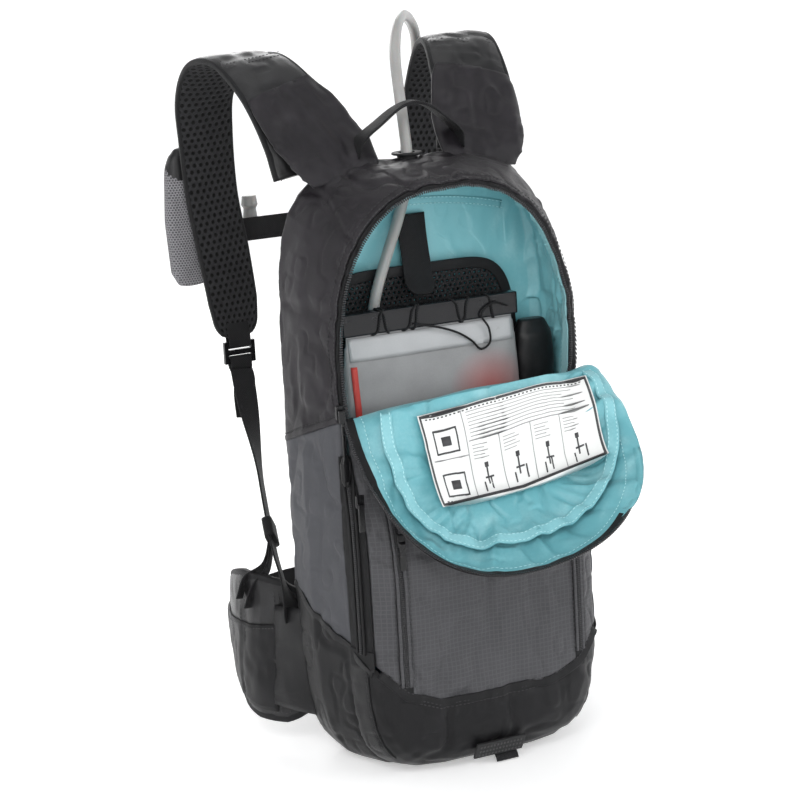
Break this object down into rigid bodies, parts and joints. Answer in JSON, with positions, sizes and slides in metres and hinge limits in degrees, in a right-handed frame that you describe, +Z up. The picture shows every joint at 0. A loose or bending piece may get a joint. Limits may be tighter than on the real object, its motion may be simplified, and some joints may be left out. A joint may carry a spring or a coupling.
{
  "type": "hydration pack",
  "caption": "Small bike hydration backpack with open front flap, reservoir, drinking hose, padded shoulder straps, chest strap and hip belt.",
  "frame": {"origin": "centre of the flat base", "axes": "+Z up along the pack's height, +Y towards the wearer, +X to the right seen from the flap side"},
  "size_m": [0.2858, 0.4107, 0.5866],
  "materials": {
    "nylon": "matte coated nylon",
    "panel": "grey ripstop nylon",
    "pad": "padded black nylon",
    "webbing": "woven webbing",
    "lining": "thin light teal lining",
    "mesh": "open mesh",
    "zip": "coil zip",
    "plastic": "moulded plastic",
    "film": "frosted film",
    "hose": "soft grey tube",
    "label": "printed satin tape",
    "rubber": "matte rubber"
  },
  "bodies": {
    "root": {"shell_upper": "nylon", "main_zip_body": "zip", "side_panel_left": "panel", "side_panel_right": "panel", "corner_panel_left": "panel", "corner_panel_right": "panel", "front_pocket_panel": "panel", "side_zip_left": "zip", "front_zip_left": "zip", "front_zip_right": "zip", "base_shell": "nylon", "back_panel": "nylon", "back_pad_left": "pad", "back_pad_right": "pad", "lumbar_pad": "pad", "main_lining": "lining", "pocket_divider": "lining", "mesh_divider": "mesh", "side_sleeve": "pad", "reservoir_bag": "film", "reservoir_outlet": "plastic", "hanger_strap": "webbing", "drinking_hose": "hose", "hose_port": "rubber", "light_loop_patch": "rubber", "main_zip_slider": "plastic"},
    "slide_bar": {"slide_bar": "plastic", "slide_bar_cord": "webbing"},
    "flap": {"flap_shell": "nylon", "flap_lining": "lining", "flap_zip": "zip", "flap_pocket": "lining", "care_label": "label"},
    "haul_loop": {"haul_loop": "webbing"},
    "main_zip_puller": {"main_zip_puller": "plastic"},
    "side_zip_slider_left": {"side_zip_slider_left": "plastic"},
    "front_zip_slider_left": {"front_zip_slider_left": "plastic"},
    "front_zip_slider_right": {"front_zip_slider_right": "plastic"},
    "strap_left": {"shoulder_pad_left": "pad", "ladder_lock_left": "plastic", "strap_webbing_left": "webbing", "strap_pouch_left": "mesh"},
    "strap_right": {"shoulder_pad_right": "pad", "ladder_lock_right": "plastic", "strap_webbing_right": "webbing", "hose_keeper_right": "webbing", "bite_valve": "hose"},
    "sternum_left": {"sternum_slider_left": "plastic", "sternum_webbing_left": "webbing"},
    "sternum_right": {"sternum_slider_right": "plastic", "sternum_webbing_right": "webbing", "sternum_buckle_female": "plastic"},
    "sternum_buckle_male": {"sternum_buckle_male": "plastic"},
    "hip_wing_left": {"hip_wing_left": "pad", "hip_webbing_left": "webbing"},
    "hip_wing_right": {"hip_wing_right": "pad", "hip_webbing_right": "webbing", "hip_buckle_female": "plastic"},
    "hip_buckle_male": {"hip_buckle_male": "plastic"}
  },
  "joints": [
    {"name": "flap_open", "type": "hinge", "parent": "root", "child": "flap", "pos_m": [0, -0.04, 0.291], "axis": [-1, 0, 0], "range_deg": [0, 127.2]},
    {"name": "haul_loop_tilt", "type": "hinge", "parent": "root", "child": "haul_loop", "pos_m": [0, 0.031, 0.4845], "axis": [1, 0, 0], "range_deg": [0, 24]},
    {"name": "main_puller_swing", "type": "hinge", "parent": "root", "child": "main_zip_puller", "pos_m": [-0.1054, -0.0456, 0.298], "axis": [-1, 0, 0], "range_deg": [0, 85]},
    {"name": "side_zip_slide", "type": "slide", "parent": "root", "child": "side_zip_slider_left", "axis": [0, 0, -1], "range_m": [0, 0.1]},
    {"name": "front_zip_left_slide", "type": "slide", "parent": "root", "child": "front_zip_slider_left", "axis": [0, 0, -1], "range_m": [0, 0.1]},
    {"name": "front_zip_right_slide", "type": "slide", "parent": "root", "child": "front_zip_slider_right", "axis": [0, 0, -1], "range_m": [0, 0.1]},
    {"name": "slide_bar_slide", "type": "slide", "parent": "root", "child": "slide_bar", "axis": [1, 0, 0], "range_m": [0, 0.034]},
    {"name": "strap_left_flex", "type": "hinge", "parent": "root", "child": "strap_left", "pos_m": [0, 0.046, 0.474], "axis": [1, 0, 0], "range_deg": [-6, 10], "deforming": ["strap_webbing_left", "drinking_hose"]},
    {"name": "strap_right_flex", "type": "hinge", "parent": "root", "child": "strap_right", "pos_m": [0, 0.046, 0.474], "axis": [1, 0, 0], "range_deg": [-6, 10], "deforming": ["strap_webbing_right", "drinking_hose"]},
    {"name": "sternum_left_height", "type": "slide", "parent": "strap_left", "child": "sternum_left", "axis": [0, 0, 1], "range_m": [-0.02, 0.02]},
    {"name": "sternum_right_height", "type": "slide", "parent": "strap_right", "child": "sternum_right", "axis": [0, 0, 1], "range_m": [-0.02, 0.02]},
    {"name": "sternum_buckle_release", "type": "slide", "parent": "sternum_left", "child": "sternum_buckle_male", "axis": [-1, 0, 0], "range_m": [0, 0.022]},
    {"name": "hip_wing_left_swing", "type": "hinge", "parent": "root", "child": "hip_wing_left", "pos_m": [-0.108, 0.053, 0.08], "axis": [0, 0, 1], "range_deg": [0, 25]},
    {"name": "hip_wing_right_swing", "type": "hinge", "parent": "root", "child": "hip_wing_right", "pos_m": [0.108, 0.053, 0.08], "axis": [0, 0, -1], "range_deg": [0, 25]},
    {"name": "hip_buckle_clip", "type": "slide", "parent": "hip_wing_left", "child": "hip_buckle_male", "axis": [1, 0, 0], "range_m": [0, 0.0235]}
  ],
  "couplings": [
    {"joint": "strap_right_flex", "follows": "strap_left_flex", "ratio": 1},
    {"joint": "sternum_right_height", "follows": "sternum_left_height", "ratio": 1}
  ]
}
